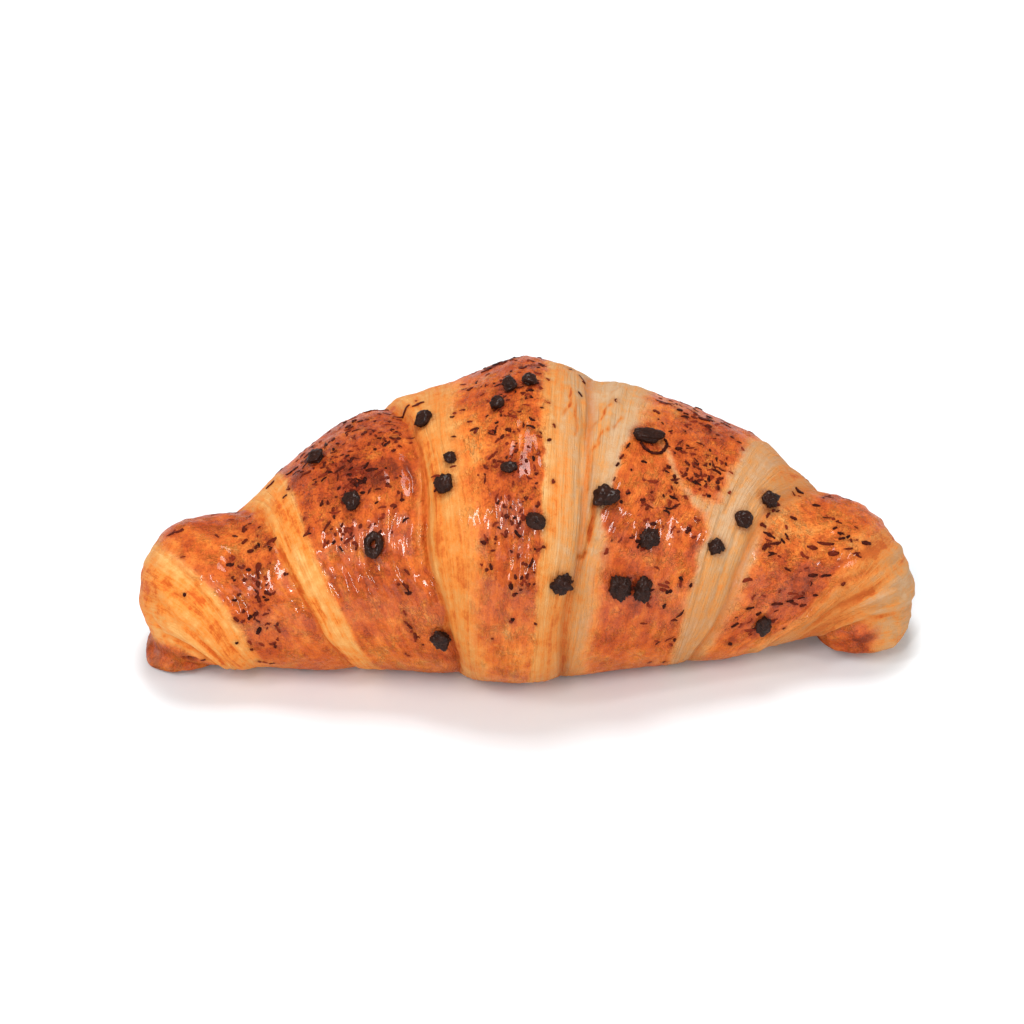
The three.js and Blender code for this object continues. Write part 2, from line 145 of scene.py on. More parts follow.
# Chocolate drops, in the CAD's order: place along, degrees round, length, width, height, turn, kind
DROPS = [
    (-21.3, 91, 4.8, 4.0, 2.4, 25, "smooth"), (-2.9, 96, 3.2, 4.2, 2.6, 0, "smooth"), (0.8, 97, 3.0, 3.6, 2.2, 0, "smooth"),
    (-5.4, 88, 3.0, 3.8, 2.4, 10, "smooth"), (-15.5, 68, 3.0, 2.6, 1.6, 0, "chunk"), (-16.5, 57, 4.4, 4.0, 2.4, 20, "chunk"),
    (-3.4, 59, 3.6, 2.4, 1.6, 0, "smooth"), (2.2, 39, 4.3, 3.5, 2.2, -25, "smooth"), (-44.2, 93, 4.3, 4.4, 2.3, 10, "chunk"),
    (-36.0, 58, 4.0, 4.2, 2.3, 0, "chunk"), (-31.4, 36, 3.8, 5.4, 2.5, -10, "ring"), (-17.6, -9, 4.0, 4.6, 2.3, 15, "chunk"),
    (7.3, 16, 3.9, 4.1, 2.1, 0, "crumb"), (16.7, 50, 5.5, 4.9, 2.8, 10, "chunk"), (25.6, 80, 8.0, 3.7, 2.5, 14, "smooth"),
    (25.6, 35, 4.2, 3.6, 2.1, 0, "crumb"), (19.8, 14, 3.7, 5.0, 2.4, 15, "crumb"), (24.1, 13, 3.7, 4.8, 2.3, -10, "crumb"),
    (45.7, 50, 4.2, 3.8, 2.2, 0, "smooth"), (51.1, 67, 4.0, 4.5, 2.3, -30, "chunk"), (40.1, 35, 2.9, 3.0, 1.7, 0, "crumb"),
    (50.2, -7, 3.5, 4.3, 2.1, 10, "chunk"), (-50.5, 160, 4.0, 4.2, 2.2, 20, "chunk"), (-35.0, 164, 4.4, 3.8, 2.3, 0, "smooth"),
    (-24.0, 177, 3.5, 3.3, 1.8, 30, "crumb"), (-12.0, 161, 4.2, 4.4, 2.4, -15, "chunk"), (3.5, 168, 5.0, 3.8, 2.3, 10, "smooth"),
    (15.0, 160, 3.4, 3.6, 1.9, 0, "crumb"), (30.0, 162, 4.4, 4.0, 2.4, 25, "chunk"), (39.5, 175, 3.7, 3.5, 1.9, 0, "smooth"),
    (55.0, 161, 3.8, 4.0, 2.1, 0, "chunk"),
]


def ease(t):
    t = np.clip(t, 0, 1)
    return t * t * (3 - 2 * t)


def table(pairs, v):
    return curve(pairs[:, 0], pairs[:, 1], v)


def curve(x, y, v):
    """A monotone cubic through the points."""
    h = np.diff(x)
    d = np.diff(y) / h
    m = np.zeros_like(y, dtype=float)
    a, b = d[:-1], d[1:]
    ok = a * b > 0
    w1, w2 = 2 * h[1:] + h[:-1], h[1:] + 2 * h[:-1]
    m[1:-1] = np.where(ok, (w1 + w2) / np.where(ok, w1 / np.where(ok, a, 1) + w2 / np.where(ok, b, 1), 1), 0)
    m[0], m[-1] = d[0], d[-1]
    i = np.clip(np.searchsorted(x, v) - 1, 0, len(x) - 2)
    t = np.clip((v - x[i]) / h[i], 0, 1)
    return ((2 * t**3 - 3 * t * t + 1) * y[i] + (t**3 - 2 * t * t + t) * h[i] * m[i]
            + (3 * t * t - 2 * t**3) * y[i + 1] + (t**3 - t * t) * h[i] * m[i + 1])


def around(values, deg):
    """A ring of values read at any angle."""
    p = ((deg + 90) / 30) % 12
    i = np.floor(p).astype(int)
    t = p - i
    a, b, c, d = [values[(i + k) % 12] for k in (-1, 0, 1, 2)]
    return b + 0.5 * t * (c - a + t * (2 * a - 5 * b + 4 * c - d + t * (3 * (b - c) + d - a)))


_lattice = {}


def noise(p, seed=1):
    """Gradient noise, about -1 to 1, at the points p (..., 3)."""
    if seed not in _lattice:
        r = np.random.RandomState(seed)
        g = r.normal(size=(256, 3))
        _lattice[seed] = (r.permutation(256), g / np.linalg.norm(g, axis=1, keepdims=True))
    perm, grad = _lattice[seed]
    cell = np.floor(p).astype(int)
    f = p - cell
    w = f * f * f * (f * (f * 6 - 15) + 10)
    out = np.zeros(p.shape[:-1])
    for dx in (0, 1):
        hx = perm[(cell[..., 0] + dx) & 255]
        wx = w[..., 0] if dx else 1 - w[..., 0]
        for dy in (0, 1):
            hy = perm[(hx + cell[..., 1] + dy) & 255]
            wy = wx * (w[..., 1] if dy else 1 - w[..., 1])
            for dz in (0, 1):
                g = grad[perm[(hy + cell[..., 2] + dz) & 255]]
                dot = g[..., 0] * (f[..., 0] - dx) + g[..., 1] * (f[..., 1] - dy) + g[..., 2] * (f[..., 2] - dz)
                out += wy * (w[..., 2] if dz else 1 - w[..., 2]) * dot
    return out * 1.7


def section(u):
    x = u.astype(float).copy()
    lean = np.zeros_like(x)
    z = np.zeros_like(x)
    for side, start, radius, lift in ((-1, BEND_L, CURL_L, LIFT_L), (1, BEND_R, CURL_R, LIFT_R)):
        s = (u - start) * side
        on = s > 0
        m = np.clip(s, 0, BEND_EASE)
        x = np.where(on, start + side * (m - m * m / (2 * BEND_EASE)), x)
        lean = np.where(on, side * np.where(s < BEND_EASE, m * m / (2 * BEND_EASE), s - BEND_EASE / 2) / radius, lean)
        z = z + lift * ease((s + 18) / 26)
    return x, z, lean


def cap_share(u):
    gr = np.clip((u - (END_R - CAP)) / CAP, 0, 1)
    gl = np.clip((END_L + CAP - u) / CAP, 0, 1)
    return np.sqrt(1 - gr * gr) * np.sqrt(1 - gl * gl)


def place(u, deg, h):
    """The plain roll at u and deg, moved out by h."""
    x, z, lean = section(u)
    b = table(HALF_HEIGHT, u)
    a = b * WIDTH_RATIO
    c, s = np.cos(np.radians(deg)), np.sin(np.radians(deg))
    e = 2 / POWER
    cx, sx = np.sign(c) * np.abs(c) ** e, np.sign(s) * np.abs(s) ** e
    g = cap_share(u)
    nl = np.hypot(c / a, s / b)
    r = table(SEAT, u) * b + b * sx * g + s / b * h / nl
    rho = (r + np.hypot(r, PINCH)) / 2
    y = table(MIDDLE_Y, u) - a * cx * g - c / a * h / nl
    return np.stack([x + rho * np.sin(lean), y, z + rho * np.cos(lean)], -1) - ORIGIN


def near_line(u, deg, points):
    """Distance in mm to a line drawn on the crust, and how far along it, 0 to 1."""
    k = np.maximum(1.1 * table(HALF_HEIGHT, u), 8) * math.pi / 180
    best = np.full(u.shape, 1e9)
    along = np.zeros(u.shape)
    n = len(points) - 1
    for i in range(n):
        (u0, d0), (u1, d1) = points[i], points[i + 1]
        ax, ay = u - u0, (deg - d0) * k
        bx, by = u1 - u0, (d1 - d0) * k
        t = np.clip((ax * bx + ay * by) / (bx * bx + by * by), 0, 1)
        d = np.hypot(ax - t * bx, ay - t * by)
        hit = d < best
        best = np.where(hit, d, best)
        along = np.where(hit, (i + t) / n, along)
    return best, along


# ------------------------------------------------------------------------------------------------ the crust's grid
RINGS, ROWS = 486, 182
cap_t = np.linspace(0, math.pi / 2, 17)[1:-1]
inner = np.linspace(END_L + CAP, END_R - CAP, RINGS)
q_line = np.concatenate([END_L + CAP * (1 - np.cos(cap_t)), inner, (END_R - CAP * (1 - np.cos(cap_t)))[::-1]])
n_top = ROWS - 24
deg_line = np.concatenate([np.linspace(-50, 230, n_top, endpoint=False), np.linspace(230, 310, ROWS - n_top, endpoint=False)])
deg_line = np.where(deg_line > 270, deg_line - 360, deg_line)
deg_line = np.roll(deg_line, -int(np.argmin(deg_line)))  # from -90 up to 270
Q, DEG = np.meshgrid(q_line, deg_line, indexing="ij")
knots = np.array([END_L] + [EDGES[n][6] for n in NAMES] + [END_R])
U = np.empty_like(Q)
for j, d in enumerate(deg_line):
    at = np.array([END_L] + [float(around(EDGES[n], np.array([d]))[0]) for n in NAMES] + [END_R])
    U[:, j] = curve(knots, at, q_line)

E = {n: around(EDGES[n], DEG) for n in NAMES}
P0 = place(U, DEG, 0 * U)
B = table(HALF_HEIGHT, U)
C_, S_ = np.cos(np.radians(DEG)), np.sin(np.radians(DEG))
g_cap = cap_share(U)
low = ease((S_ + 1.0) / 0.5)  # 0 in the middle of the underside
ARC = np.stack([C_ * B * 1.1, S_ * B], -1)


def streaks(across, along, seed):
    """Noise in lines that run round the roll, along the layers' edges."""
    return noise(np.stack([Q * across, ARC[..., 0] * along, ARC[..., 1] * along], -1), seed)


def lumps(scale, seed):
    return noise(P0 / scale, seed)


# Colour of the bake: 0 is raw pale dough and 1 is nearly burnt.
warp = 0.8 * lumps(5.0, 11) + 0.3 * lumps(1.9, 12)
Uw = U + warp * np.clip(B / 25, 0.4, 1)


def zone(left, right, level, soft_l, soft_r, shift_l=0.0, shift_r=0.0):
    m = np.ones_like(U)
    if left:
        m = m * ease((Uw - E[left] + shift_l) / soft_l)
    if right:
        m = m * ease((E[right] - Uw + shift_r) / soft_r)
    return m, level


soft4 = 1.8 + 6 * ease((46 - DEG) / 18) + 6 * ease((DEG - 72) / 20)
ragged = 0.9 * lumps(3.2, 18) + 0.5 * lumps(1.3, 19)
Uw = Uw + 0.45 * ragged * np.clip(B / 25, 0.4, 1)
ZONES = [
    zone(None, "tip_left", 0.58, 1, 4.5, 0, -0.8),
    zone("fan_left", "outer_left", 0.56, 4.5, 2.4, 1.0 + 1.1 * streaks(0.5, 0.05, 50), 0.6),
    zone("glaze_2", "inner_left", 0.62, 3.0, 1.2, 1.2, 0.0),
    zone("glaze_3l", "glaze_3r", 0.54, 10.0, 1.8 + 3.0 * ease((DEG - 58) / 30), 1.6, 0.8 + 1.2 * lumps(2.2, 56) * ease((DEG - 50) / 30)),
    zone("glaze_4l", "glaze_4r", 0.60, soft4, 4.5, 0.9, 2.0),
    zone("outer_right", "fan_right", 0.55, 6.0, 9.0, 0.8, 3.8 + 3.2 * streaks(0.5, 0.05, 51)),
    zone("tip_right", None, 0.62, 3.5, 1, 0.6, 0),
]
ZONES[-1] = (ZONES[-1][0] * np.maximum(ease((24 + 8 * lumps(3.0, 49) - DEG) / 30), ease((DEG - 120) / 40)), ZONES[-1][1])
# How brown each place is: a share of glaze, and how dark that glaze is baked.
brown = np.zeros_like(U)
toast = np.full_like(U, 0.5)
for m, level in ZONES:
    toast = np.where(m > brown, level, toast)
    brown = np.maximum(brown, m)
# The undyed edges of the layers: 0 is cream and 1 is orange.
tint = np.interp(U, [-90, -66, -55, -45, -30, -18, 0, 6, 14, 22, 45, 60, 70, 80],
                 [0.60, 0.66, 0.62, 0.58, 0.56, 0.64, 0.58, 0.40, 0.18, 0.14, 0.22, 0.42, 0.54, 0.40])
tint += ease((30 - DEG) / 40) * np.where(U > 0, 0.20, 0.04)
# Browner tan tone: partly the dough's own colour, partly painted shade on the lower front of the right side, which gets
# less light.
tan = np.interp(U, [-90, -34, -22, -12, 0, 8, 14, 22, 45, 60, 68, 80], [0, 0, 0.45, 0.45, 0.3, 0.25, 0.1, 0.1, 0.2, 0.7, 0.75, 0.25])
tan += 0.40 * ease((35 - DEG) / 40) * ease(U / 4)
tint = np.where(DEG > 180, tint - 0.1, tint)
for u0, d0, ru, rd, change in PATCHES:
    k = np.maximum(1.1 * B, 8) * math.pi / 180
    r2 = ((U + 0.6 * warp - u0) / ru) ** 2 + ((DEG - d0) * k / rd) ** 2
    toast += change * np.exp(-r2) * (0.35 + 0.65 * brown)
toast += 0.16 * lumps(8.0, 13) + 0.07 * lumps(3.4, 14) + 0.12 * streaks(0.45, 0.14, 15) + 0.10 * streaks(0.85, 0.10, 52)
tint += 0.24 * streaks(0.34, 0.04, 16) + 0.16 * streaks(0.9, 0.06, 17) + 0.16 * lumps(6.0, 10) + 0.12 * lumps(2.2, 9)
toast += 0.05 * ease((DEG - 60) / 40) * ease((170 - DEG) / 40) - 0.16 * ease((-4 - DEG) / 30) * low

# Relief.
H = np.zeros_like(U)
# Painted shade: a darker, more orange colour laid into the creases between the layers and into the deepest grooves.
crease_shade = np.zeros_like(U)
for n, (side, depth, brow, rim, brow_len, foot) in CREASES.items():
    seed = 20 + NAMES.index(n)
    wob = 0.45 * noise(np.stack([DEG / 14, 0 * DEG, 0 * DEG], -1), seed) * low
    s = (U - E[n] - wob) * side
    if n.startswith("tip"):
        depth = depth * (1 - 0.75 * ease((DEG + 12) / 34) * ease((165 - DEG) / 40))
    d = depth * (1 + 0.22 * noise(np.stack([DEG / 22, 0 * DEG + 3, 0 * DEG], -1), seed))
    x = np.clip(s / rim, 0, 1)
    wall = 0.45 * d
    up = -d + wall * (1 - np.exp(-np.maximum(s, 0) / 0.4)) + (d + brow - wall) * (1 - (1 - x) ** 2) ** 0.85
    H += np.where(s < 0, -d * np.exp(np.minimum(s, 0) / foot), np.where(s < rim, up, brow * np.exp(-(((s - rim) / brow_len) ** 2))))
    crease_shade = np.maximum(crease_shade, np.exp(-((s + 0.3) / np.where(s < -0.3, 1.3, 0.7)) ** 2) * np.clip(depth / 1.8, 0, 1))
for height, width, change, points in LINES:
    d, t = near_line(U + 0.55 * lumps(4.2, 45) + 0.2 * lumps(1.7, 46), DEG + 1.6 * lumps(4.2, 47), points)
    width = width * (1 + 0.35 * lumps(3.0, 48))
    f = np.exp(-((d / width) ** 2)) * ease(np.minimum(t, 1 - t) * 6 + 0.15)
    H += height * f
    w = np.exp(-((d / (width * 1.1)) ** 2)) * ease(np.minimum(t, 1 - t) * 6 + 0.15)
    toast += max(change, 0) * w
    tint += (0.8 if change > 0 else 0.15) * change * w
    brown *= 1 + min(change, 0) * 1.9 * w
    # Deep grooves that bake much darker also take the painted shade of the creases.
    if height < 0 and change > 0.3:
        crease_shade = np.maximum(crease_shade, f)
fan = np.clip(ease((E["fan_left"] + 1 - U) / 3) * ease((U - E["tip_left"]) / 2) + ease((U - E["fan_right"] + 5) / 5) * ease((E["tip_right"] - U) / 2), 0, 1)
brown = np.clip(brown, 0, 1)
pale = (1 - brown) * (1 - 0.3 * fan)
ridge = streaks(0.55, 0.035, 31)
ridge = 1 - 2 * np.abs(ridge)
H += pale * (0.15 * ridge + 0.08 * streaks(1.25, 0.06, 32) + 0.10 * lumps(1.8, 44))
fold = streaks(0.40, 0.045, 33)
H += fan * (0.55 * fold + 0.14 * ridge + 0.34 * streaks(0.20, 0.03, 53))
tint += fan * 0.42 * np.clip(-fold, -0.35, 1)
gold = ease((U - 50) / 10) * ease((80 - U) / 10) * ease((DEG - 4) / 24) * ease((120 - DEG) / 30)
tint, tan = tint + 0.20 * gold, tan + 0.18 * gold
toast += 0.14 * ease((U - 80) / 4) * ease((30 - DEG) / 20)
H += brown * (0.22 * lumps(7.0, 34) + 0.17 * streaks(0.42, 0.16, 35) + 0.15 * streaks(0.85, 0.33, 36) + 0.07 * lumps(1.6, 43))
H += 0.45 * lumps(19.0, 37) + 0.16 * lumps(4.5, 38)
nub = np.clip(ease((E["tip_left"] - U) / 4) + ease((U - E["tip_right"]) / 4), 0, 1)
H += nub * (0.45 * lumps(4.2, 39) + 0.2 * lumps(2.2, 40))
P = place(U, DEG, H * low * g_cap)
P[..., 2] = np.maximum(P[..., 2], 0)

under = ease((1.2 - P[..., 2]) / 1.2) * ease((-S_ - 0.3) / 0.2)
# Painted shade: the creases are coloured a darker bake.
toast = np.clip(toast + crease_shade * 0.12, 0.02, 1)
toast = toast * (1 - under) + under * np.clip(0.60 + 0.14 * lumps(9.0, 41) + 0.10 * lumps(2.6, 42), 0, 1)
# Painted shade: the creases are also tinted more orange.
tint = np.clip(tint + 0.25 * crease_shade, 0, 1.1)


def normals(P):
    du = np.gradient(P, axis=0)
    dd = np.roll(P, -1, 1) - np.roll(P, 1, 1)
    n = np.cross(dd, du)
    n *= -np.sign((n * (P.mean(1, keepdims=True) - P)).sum(-1).mean())
    return n / (np.linalg.norm(n, axis=-1, keepdims=True) + 1e-12)


N = normals(P)


def sample(field, q, deg):
    """A grid field at (q, deg), between its points."""
    i = np.interp(q, q_line, np.arange(len(q_line)))
    j = np.interp(deg, deg_line, np.arange(ROWS))
    i0 = np.clip(np.floor(i).astype(int), 0, len(q_line) - 2)
    j0 = np.clip(np.floor(j).astype(int), 0, ROWS - 1)
    j1 = (j0 + 1) % ROWS
    a, b = i - i0, j - j0
    if field.ndim == 3:
        a, b = np.asarray(a)[..., None], np.asarray(b)[..., None]
    return (field[i0, j0] * (1 - a) + field[i0 + 1, j0] * a) * (1 - b) + (field[i0, j1] * (1 - a) + field[i0 + 1, j1] * a) * b


def q_at(u, deg):
    at = [END_L] + [float(around(EDGES[n], np.array([float(deg)]))[0]) for n in NAMES] + [END_R]
    qs = np.linspace(END_L, END_R, 800)
    return float(np.interp(u, curve(knots, np.array(at), qs), qs))


# ------------------------------------------------------------------------------------------------ flakes
rng = np.random.RandomState(7)
# Where flakes fell thickly: (place along, degrees round, half length, half width in mm, weight)
DENSE = [
    (-2, 92, 10, 14, 1.0), (0, 68, 7, 8, 0.9), (2, 45, 5, 10, 0.8), (-6, 45, 5, 9, 0.7), (-36, 82, 12, 9, 1.0), (-44, 68, 6, 9, 0.9),
    (-34, 50, 8, 8, 0.55), (36, 85, 8, 9, 0.8), (40, 66, 5, 6, 0.8), (27, 48, 9, 6, 0.8), (-58, 45, 8, 12, 0.5), (-57, 12, 4, 12, 0.8),
    (60, 48, 9, 10, 0.4), (53, 25, 6, 12, 0.45), (46, -12, 5, 6, 0.6), (0, 18, 6, 12, 0.45), (-34, 100, 10, 8, 0.7),
    (30, 30, 10, 12, 0.3), (-28, 20, 8, 14, 0.15), (5, 120, 9, 12, 0.8), (-30, 135, 12, 14, 0.7), (36, 125, 10, 14, 0.7),
    (-58, 110, 8, 12, 0.5), (62, 110, 8, 12, 0.45), (0, 155, 12, 12, 0.4), (78, 60, 8, 10, 0.1), (-72, 80, 8, 10, 0.2),
]
flakes = []
tries = 0
while len(flakes) < 1150 and tries < 80000:
    tries += 1
    u, d = rng.uniform(-78, 82), rng.uniform(-38, 185)
    k = 1.1 * float(table(HALF_HEIGHT, np.array([u]))[0]) * math.pi / 180
    w = 0.02 + sum(a * math.exp(-(((u - u0) / ru) ** 2) - ((d - d0) * k / rd) ** 2) for u0, d0, ru, rd, a in DENSE)
    q = q_at(u, d) if rng.uniform() < min(1, w) * k / 0.6 else None
    if q is None:
        continue
    if flakes and rng.uniform() < 0.45:  # beside an earlier one
        q0, d0 = flakes[rng.randint(len(flakes))][:2]
        q, d = q0 + rng.normal() * 1.3, d0 + rng.normal() * 1.3 / k
        if not (-80 < q < 84 and -38 < d < 185):
            continue
    b = float(sample(brown, q, d))
    if rng.uniform() > 0.12 + 0.88 * b:
        continue
    sort = rng.uniform()
    if sort < 0.44:  # a sliver
        length = float(np.clip(rng.lognormal(0.42, 0.32), 0.8, 2.5))
        half, rise = rng.uniform(0.26, 0.56), rng.uniform(0.06, 0.15)
    elif sort < 0.88:  # a speck
        length = rng.uniform(0.55, 1.15)
        half, rise = length * rng.uniform(0.34, 0.50), rng.uniform(0.06, 0.16)
    else:  # a crumb
        length = rng.uniform(0.9, 1.7)
        half, rise = length * rng.uniform(0.34, 0.46), rng.uniform(0.18, 0.34)
    flakes.append((q, d, length, half, rng.uniform(0, math.pi), rng.uniform(-0.8, 0.8) if sort < 0.44 else 0.0, rise))
# Chips between a flake and a drop: place along, degrees round, length, width, turn
CHIPS = [
    (58.6, 95, 1.5, 1.3, 0.3), (-56.1, 48, 2.4, 1.7, 0.9), (-37.8, 108, 1.5, 1.1, 0.2), (38.2, 106, 2.1, 1.4, 0.1), (-55.9, 26, 1.6, 1.3, 1.2),
    (-57.8, 15, 1.4, 1.2, 0.5), (-60.7, 16, 1.2, 1.1, 1.9), (-56, 4, 1.9, 1.3, 0.8), (-3, 15, 1.3, 1.8, 0), (-59.2, 73, 1.4, 1.0, 0.4),
    (11.6, 98, 1.3, 1.0, 2.2), (56.8, 66, 1.2, 0.9, 0.6), (44.2, -6, 1.4, 1.0, 1.0), (43.4, -20, 1.3, 1.0, 2.4), (47.3, 3, 1.2, 0.9, 0.2),
    (66.1, 64, 1.0, 0.8, 0.9), (67.5, 26, 1.0, 0.9, 1.4), (60.8, 28, 1.3, 1.0, 0.5), (-18.3, 56.5, 1.5, 1.4, 0.4), (22.0, 13.2, 2.0, 0.9, 0.1),
    (-38.9, 78, 2.4, 1.0, 0.3), (-32.2, 72, 2.6, 1.2, 2.9), (-29.4, 66, 2.2, 1.0, 0.2), (-34.6, 67, 2.8, 1.2, 0.1), (-36.5, 72, 2.2, 0.9, 2.7),
    (21.5, 74, 1.6, 0.9, 1.2), (20.1, 68.5, 1.5, 0.7, 1.1), (19.2, 65, 1.0, 0.8, 1.0), (18.5, 58.5, 0.9, 0.6, 1.4), (-35.2, 64, 2.4, 1.3, 0.4),
    (-30.8, 69, 2.4, 0.9, 0.5), (-33.4, 75, 1.9, 0.9, 0.9), (-38.0, 60, 1.6, 1.3, 1.3), (-22.8, 104.5, 1.8, 1.0, 0.2), (-25.4, 106, 1.4, 0.9, 0.5),
]
for u, d, length, width, turn in CHIPS:
    flakes.append((q_at(u, d), d, length, width / 2, turn, 0.0, 0.16 if length > 2.1 else 0.34))
# A thread of chocolate that trailed off one drop.
THREAD = [(24.1, 76.8), (25.1, 73.8), (26.6, 72.6), (28.3, 73.5), (29.4, 76.5), (29.9, 80.5), (29.3, 82.6)]

# How thickly the flakes lie at each place.
flaky = 0.05 * np.ones_like(U)
for u0, d0, ru, rd, a in DENSE:
    k = np.maximum(1.1 * B, 8) * math.pi / 180
    flaky += a * np.exp(-(((U - u0) / ru) ** 2) - ((DEG - d0) * k / rd) ** 2)
flaky = np.clip(flaky, 0, 1) * (0.15 + 0.85 * brown)

# Stains where chocolate lies in the glaze, and a darker ring round the foot of each drop.
stain = np.zeros_like(U)
flat = P.reshape(-1, 3)
centres = np.array([sample(P, q, d) for q, d, *_ in flakes])
for c, (q, d, length, *_rest) in zip(centres, flakes):
    i = int(np.interp(q, q_line, np.arange(len(q_line))))
    lo, hi = max(0, i - 12), min(len(q_line), i + 13)
    r2 = ((P[lo:hi] - c) ** 2).sum(-1) / (0.30 * length + 0.42) ** 2
    stain[lo:hi] = np.maximum(stain[lo:hi], 0.8 * np.exp(-r2))
# A darker ring round the foot of each drop.
for u, d, length, width, height, turn, kind in DROPS:
    c = sample(P, q_at(u, d), d)
    r = np.sqrt(((P - c) ** 2).sum(-1)) - 0.42 * max(length, width)
    stain = np.maximum(stain, 0.7 * np.exp(-((np.maximum(r, 0) / 0.9) ** 2)))


# ------------------------------------------------------------------------------------------------ mesh helpers
def new_mesh(name, verts, faces, smooth=True):
    me = bpy.data.meshes.new(name)
    me.from_pydata([tuple(v) for v in verts], [], [tuple(f) for f in faces])
    me.validate()
    me.update()
    if smooth:
        me.polygons.foreach_set("use_smooth", [True] * len(me.polygons))
    ob = bpy.data.objects.new(name, me)
    scene.collection.objects.link(ob)
    return ob


def float_attribute(me, name, values):
    a = me.attributes.new(name, "FLOAT", "POINT")
    a.data.foreach_set("value", np.asarray(values, np.float32))


def crust_object():
    n_q = len(q_line)
    tip_l = np.array([*place(np.array([END_L]), np.array([90.0]), np.array([0.0]))[0]])
    tip_r = np.array([*place(np.array([END_R]), np.array([90.0]), np.array([0.0]))[0]])
    tip_l[2], tip_r[2] = max(tip_l[2], 0), max(tip_r[2], 0)
    verts = np.concatenate([P.reshape(-1, 3), [tip_l], [tip_r]]) / 1000
    idx = np.arange(n_q * ROWS).reshape(n_q, ROWS)
    a, b = idx[:-1], idx[1:]
    quads = np.stack([a, np.roll(a, -1, 1), np.roll(b, -1, 1), b], -1).reshape(-1, 4)
    left, right = n_q * ROWS, n_q * ROWS + 1
    fans = [(left, int(idx[0, (j + 1) % ROWS]), int(idx[0, j])) for j in range(ROWS)]
    fans += [(right, int(idx[-1, j]), int(idx[-1, (j + 1) % ROWS])) for j in range(ROWS)]
    ob = new_mesh("croissant_crust", verts, [tuple(map(int, f)) for f in quads] + fans)
    me = ob.data
    # outward faces
    bm = bmesh.new()
    bm.from_mesh(me)
    if bm.calc_volume(signed=True) < 0:
        bmesh.ops.reverse_faces(bm, faces=bm.faces)
        bm.to_mesh(me)
    bm.free()
    me.update()
    pad = lambda f, v=0.5: np.concatenate([f.reshape(-1), [v, v]])
    float_attribute(me, "toast", pad(toast, 0.7))
    float_attribute(me, "brown", pad(np.maximum(brown, under), 1))
    float_attribute(me, "tint", pad(tint, 0.6))
    # Tan: partly the dough's own tone, partly painted shade on the lower right.
    float_attribute(me, "tan", pad(tan * (1 - under), 0))
    # Right half: a duller, darker beige dough, partly its own tone and partly painted shade for the side that gets less
    # light.
    float_attribute(me, "right", pad(ease((U - 1) / 9), 0.5))
    float_attribute(me, "flaky", pad(flaky * (1 - under), 0))
    float_attribute(me, "stain", pad(stain * (1 - under), 0))
    # Painted shade in the creases and deep grooves.
    float_attribute(me, "crease_shade", pad(crease_shade * low, 0))
    float_attribute(me, "under", pad(under, 1))
    float_attribute(me, "upward", pad(ease((N[..., 2] + 0.30) / 0.55) * (1 - 0.78 * ease((DEG - 58) / 24) * ease((176 - DEG) / 30)), 0.5))
    lay = np.zeros((n_q * ROWS + 2, 3), np.float32)
    lay[:-2, 0] = Q.reshape(-1)
    lay[:-2, 1] = (DEG * 0.5).reshape(-1)
    lay[:-2, 2] = (0.5 * B).reshape(-1)
    lay[-2:, 0] = END_L, END_R
    at = me.attributes.new("lay", "FLOAT_VECTOR", "POINT")
    at.data.foreach_set("vector", lay.reshape(-1))
    # its own map: along the roll by round the roll, split along the underside
    uv = me.uv_layers.new(name="OFBake")
    loops = np.zeros(len(me.loops), int)
    me.loops.foreach_get("vertex_index", loops)
    vi, vj = loops // ROWS, loops % ROWS
    out = np.zeros((len(loops), 2))
    starts = np.zeros(len(me.polygons), int)
    counts = np.zeros(len(me.polygons), int)
    me.polygons.foreach_get("loop_start", starts)
    me.polygons.foreach_get("loop_total", counts)
    span = deg_line[-1] - deg_line[0] + (360 - (deg_line[-1] - deg_line[0]))
    vv = (np.append(deg_line, deg_line[0] + 360) - deg_line[0]) / 360
    qq = (q_line - END_L) / (END_R - END_L)
    face_of = np.repeat(np.arange(len(starts)), counts)
    is_tip = loops >= n_q * ROWS
    j_here = np.where(is_tip, 0, vj)
    # a face that crosses the split has both a first and a last row
    first = np.zeros(len(starts), bool)
    last = np.zeros(len(starts), bool)
    np.logical_or.at(first, face_of, (j_here == 0) & ~is_tip)
    np.logical_or.at(last, face_of, (j_here == ROWS - 1) & ~is_tip)
    wrap = (first & last)[face_of] & (j_here == 0) & ~is_tip
    jj = np.where(wrap, ROWS, j_here)
    out[:, 0] = np.where(is_tip, np.where(loops == left, 0.0, 1.0), qq[np.clip(vi, 0, n_q - 1)])
    out[:, 1] = vv[np.clip(jj, 0, ROWS)]
    # a tip's corner takes the middle of its own face
    for_tip = np.where(is_tip)[0]
    sums = np.zeros(len(starts))
    np.add.at(sums, face_of, np.where(is_tip, 0, out[:, 1]))
    out[for_tip, 1] = sums[face_of[for_tip]] / 2
    out = 0.01 + 0.98 * out
    uv.data.foreach_set("uv", out.reshape(-1).astype(np.float32))
    return ob


# ------------------------------------------------------------------------------------------------ materials
def srgb(r, g, b):
    f = lambda c: c / 12.92 if c <= 0.04045 else ((c + 0.055) / 1.055) ** 2.4
    return (f(r / 255), f(g / 255), f(b / 255), 1.0)


